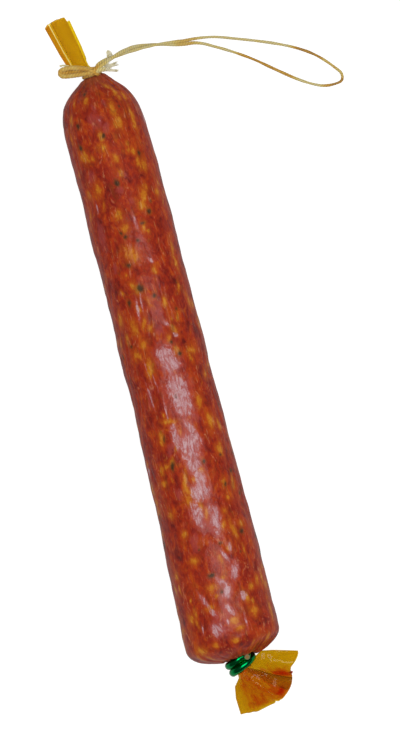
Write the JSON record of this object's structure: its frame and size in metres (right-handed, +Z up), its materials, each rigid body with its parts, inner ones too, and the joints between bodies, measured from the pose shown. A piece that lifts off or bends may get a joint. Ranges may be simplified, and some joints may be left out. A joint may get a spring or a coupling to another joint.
{
  "type": "cured sausage",
  "caption": "Whole dry-cured sausage in a translucent amber casing, tied with a twine hanging loop at one end and a wire clip at the other.",
  "frame": {"origin": "on the surface the sausage lies on, at the middle of its footprint without the free twine loop", "axes": "+Y along the sausage towards the twine end, -Y towards the wire clip, +Z up, +X to the side the loop lies on"},
  "size_m": [0.1505, 0.3675, 0.0482],
  "materials": {
    "cased_meat": "cured minced meat with orange fat, under a tight satin casing",
    "casing_film": "glossy translucent amber collagen film",
    "clip": "green anodised wire, bare at its cut end",
    "twine": "straw-coloured twisted hemp twine, stained amber at the tie"
  },
  "bodies": {
    "root": {"sausage_body": "cased_meat", "casing_tail_top": "casing_film", "casing_tail_bottom": "casing_film", "clip_wire": "clip", "twine_tie": "twine", "twine_loop": "twine"}
  },
  "joints": []
}
